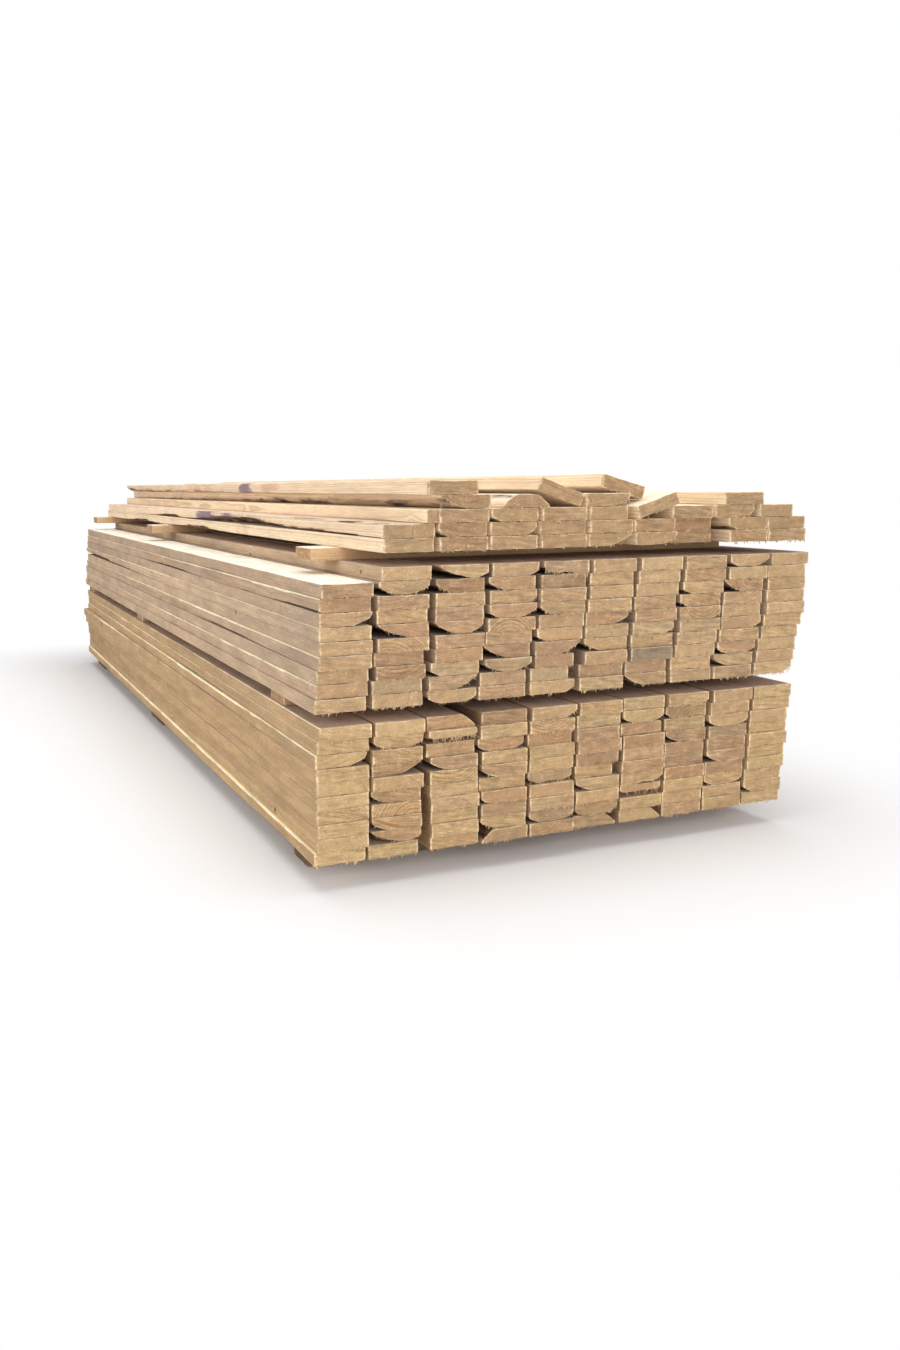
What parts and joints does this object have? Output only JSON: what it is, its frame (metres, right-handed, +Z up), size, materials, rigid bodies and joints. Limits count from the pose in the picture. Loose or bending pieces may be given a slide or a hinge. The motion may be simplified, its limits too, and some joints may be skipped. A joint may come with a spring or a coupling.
{
  "type": "stack of lumber",
  "caption": "Stack of rough-sawn softwood boards: two full packs on cross timbers with sticker gaps between them, and a loose heap of boards on top.",
  "frame": {"origin": "middle of the bounding box's footprint, on the floor", "axes": "+Y along the boards towards the far ends, +X across the boards, +Z up"},
  "size_m": [2.1868, 6.1142, 1.4702],
  "materials": {
    "lower_board": "rough-sawn pale softwood, warm tan, matte, with knots, saw marks and fuzzy edges",
    "middle_board": "rough-sawn pale softwood, greyer tan, matte, with knots, saw marks and fuzzy edges",
    "loose_board": "rough-sawn pale softwood, light cream orange, matte, with wane and bark at some edges",
    "sticker_board": "rough-sawn softwood, matte, slightly dusty",
    "bearer_timber": "rough-sawn softwood, dark with weather and soil, matte"
  },
  "bodies": {
    "root": {"bearer_far": "bearer_timber", "bearer_middle": "bearer_timber", "bearer_near": "bearer_timber", "loose_board_leaning": "loose_board", "loose_board_tilted_left": "loose_board", "loose_board_tilted_right": "loose_board", "loose_board_top": "loose_board", "loose_row_1": "loose_board", "loose_row_2": "loose_board", "loose_row_3": "loose_board", "loose_row_4": "loose_board", "lower_gap_stickers": "sticker_board", "lower_layer_01": "lower_board", "lower_layer_02": "lower_board", "lower_layer_03": "lower_board", "lower_layer_04": "lower_board", "lower_layer_05": "lower_board", "lower_layer_06": "lower_board", "lower_layer_07": "lower_board", "lower_layer_08": "lower_board", "lower_layer_09": "lower_board", "lower_layer_10": "lower_board", "middle_layer_01": "middle_board", "middle_layer_02": "middle_board", "middle_layer_03": "middle_board", "middle_layer_04": "middle_board", "middle_layer_05": "middle_board", "middle_layer_06": "middle_board", "middle_layer_07": "middle_board", "middle_layer_08": "middle_board", "middle_layer_09": "middle_board", "middle_layer_10": "middle_board", "upper_gap_stickers": "sticker_board"}
  },
  "joints": []
}
